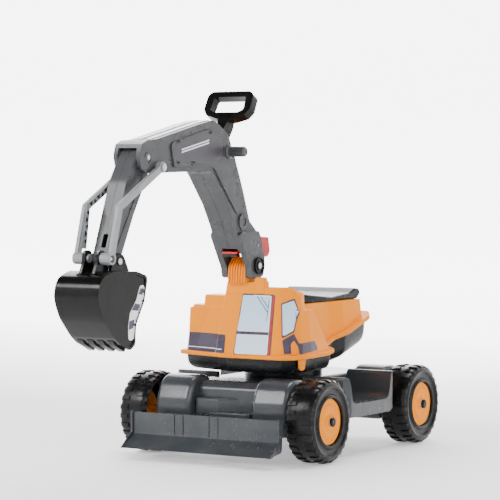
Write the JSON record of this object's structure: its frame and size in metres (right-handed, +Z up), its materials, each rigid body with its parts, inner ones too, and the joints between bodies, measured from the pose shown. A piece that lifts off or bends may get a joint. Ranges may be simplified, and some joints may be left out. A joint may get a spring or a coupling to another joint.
{
  "type": "toy excavator",
  "caption": "Ride-on toy excavator with a wheeled chassis, dozer blade, slewing body with seat, and a hand-worked boom, stick and bucket.",
  "frame": {"origin": "on the floor, under the middle of the overall length; the slew axis is 0.2277 m behind it along +Y", "axes": "+Z up, -Y towards the dozer blade and the bucket, +X the rider's left, the side of the cab; wheel axles and all boom hinges run along X"},
  "size_m": [0.4554, 1.011, 0.7236],
  "materials": {
    "yellow_plastic": "satin gloss moulded",
    "slate_plastic": "satin gloss moulded",
    "dark_grey_plastic": "satin moulded",
    "boom_grey_plastic": "satin gloss moulded",
    "light_grey_plastic": "satin gloss moulded",
    "black_plastic": "gloss moulded",
    "tyre_black": "satin blow-moulded",
    "red_plastic": "gloss moulded",
    "steel": "zinc-plated"
  },
  "bodies": {
    "chassis": {"chassis_shell": "slate_plastic", "left_footrest": "slate_plastic", "right_footrest": "slate_plastic", "front_axle": "steel", "rear_axle": "steel", "slew_ring": "black_plastic", "kingpin": "steel", "kingpin_nut": "steel", "kingpin_bush": "black_plastic", "left_blade_pin": "steel", "right_blade_pin": "steel", "front_left_washer": "steel", "front_left_cap_nut": "black_plastic", "front_right_washer": "steel", "front_right_cap_nut": "black_plastic", "rear_left_washer": "steel", "rear_left_cap_nut": "black_plastic", "rear_right_washer": "steel", "rear_right_cap_nut": "black_plastic"},
    "blade": {"dozer_blade": "slate_plastic"},
    "front_left_wheel": {"front_left_tyre": "tyre_black", "front_left_hub": "yellow_plastic"},
    "front_right_wheel": {"front_right_tyre": "tyre_black", "front_right_hub": "yellow_plastic"},
    "rear_left_wheel": {"rear_left_tyre": "tyre_black", "rear_left_hub": "yellow_plastic"},
    "rear_right_wheel": {"rear_right_tyre": "tyre_black", "rear_right_hub": "yellow_plastic"},
    "upper": {"base_tray": "dark_grey_plastic", "body_shell": "yellow_plastic", "seat": "dark_grey_plastic", "clip_tab": "yellow_plastic", "boom_pin": "steel", "left_boom_pin_cap": "black_plastic", "right_boom_pin_cap": "black_plastic"},
    "boom": {"boom_left_half": "boom_grey_plastic", "boom_right_half": "boom_grey_plastic", "left_side_cover": "boom_grey_plastic", "right_side_cover": "boom_grey_plastic", "side_grip": "boom_grey_plastic", "elbow_pin": "steel", "stick_pin": "steel", "left_link_bolt": "steel", "right_link_bolt": "steel", "latch_pin": "steel", "latch_spring": "steel"},
    "latch": {"latch": "red_plastic"},
    "lever": {"d_handle_lever": "black_plastic", "rear_rod_pin": "steel"},
    "push_rod": {"push_rod": "steel"},
    "stick": {"stick_left_half": "boom_grey_plastic", "stick_right_half": "boom_grey_plastic", "front_rod_pin": "steel", "bucket_pin": "steel"},
    "bucket": {"bucket": "black_plastic", "left_ear_bolt": "steel", "right_ear_bolt": "steel"},
    "left_link": {"left_link": "light_grey_plastic"},
    "right_link": {"right_link": "light_grey_plastic"}
  },
  "joints": [
    {"name": "slew", "type": "hinge", "parent": "chassis", "child": "upper", "pos_m": [0, 0.2277, 0.16], "axis": [0, 0, 1], "continuous": true},
    {"name": "boom_lift", "type": "hinge", "parent": "upper", "child": "boom", "pos_m": [0, 0.0667, 0.379], "axis": [1, 0, 0], "range_deg": [-18, 24]},
    {"name": "stick_swing", "type": "hinge", "parent": "boom", "child": "stick", "pos_m": [0, -0.3143, 0.591], "axis": [1, 0, 0], "range_deg": [-20, 15]},
    {"name": "handle_swing", "type": "hinge", "parent": "boom", "child": "lever", "pos_m": [0, -0.0403, 0.604], "axis": [1, 0, 0], "range_deg": [-22, 22]},
    {"name": "rod_swing", "type": "hinge", "parent": "lever", "child": "push_rod", "pos_m": [0, -0.0403, 0.62], "axis": [1, 0, 0], "range_deg": [-22, 22]},
    {"name": "left_link_swing", "type": "hinge", "parent": "boom", "child": "left_link", "pos_m": [0.037, -0.2843, 0.573], "axis": [1, 0, 0], "range_deg": [-24, 24]},
    {"name": "right_link_swing", "type": "hinge", "parent": "boom", "child": "right_link", "pos_m": [-0.037, -0.2843, 0.573], "axis": [1, 0, 0], "range_deg": [-24, 24]},
    {"name": "bucket_curl", "type": "hinge", "parent": "stick", "child": "bucket", "pos_m": [0, -0.4083, 0.403], "axis": [1, 0, 0], "range_deg": [-22, 22]},
    {"name": "latch_tilt", "type": "hinge", "parent": "boom", "child": "latch", "pos_m": [0, 0.0697, 0.42], "axis": [1, 0, 0], "range_deg": [-4, 0], "stiffness_Nm_per_rad": 0.3},
    {"name": "blade_tilt", "type": "hinge", "parent": "chassis", "child": "blade", "pos_m": [0, -0.0343, 0.072], "axis": [1, 0, 0], "range_deg": [-10, 6]},
    {"name": "front_left_wheel_spin", "type": "hinge", "parent": "chassis", "child": "front_left_wheel", "pos_m": [0.1913, 0.0307, 0.082], "axis": [1, 0, 0], "continuous": true},
    {"name": "front_right_wheel_spin", "type": "hinge", "parent": "chassis", "child": "front_right_wheel", "pos_m": [-0.1913, 0.0307, 0.082], "axis": [1, 0, 0], "continuous": true},
    {"name": "rear_left_wheel_spin", "type": "hinge", "parent": "chassis", "child": "rear_left_wheel", "pos_m": [0.1913, 0.4247, 0.082], "axis": [1, 0, 0], "continuous": true},
    {"name": "rear_right_wheel_spin", "type": "hinge", "parent": "chassis", "child": "rear_right_wheel", "pos_m": [-0.1913, 0.4247, 0.082], "axis": [1, 0, 0], "continuous": true}
  ],
  "couplings": [
    {"joint": "handle_swing", "follows": "stick_swing", "ratio": 1},
    {"joint": "rod_swing", "follows": "stick_swing", "ratio": -1},
    {"joint": "left_link_swing", "follows": "stick_swing", "ratio": 1.052},
    {"joint": "right_link_swing", "follows": "stick_swing", "ratio": 1.052},
    {"joint": "bucket_curl", "follows": "stick_swing", "ratio": 0.896}
  ]
}
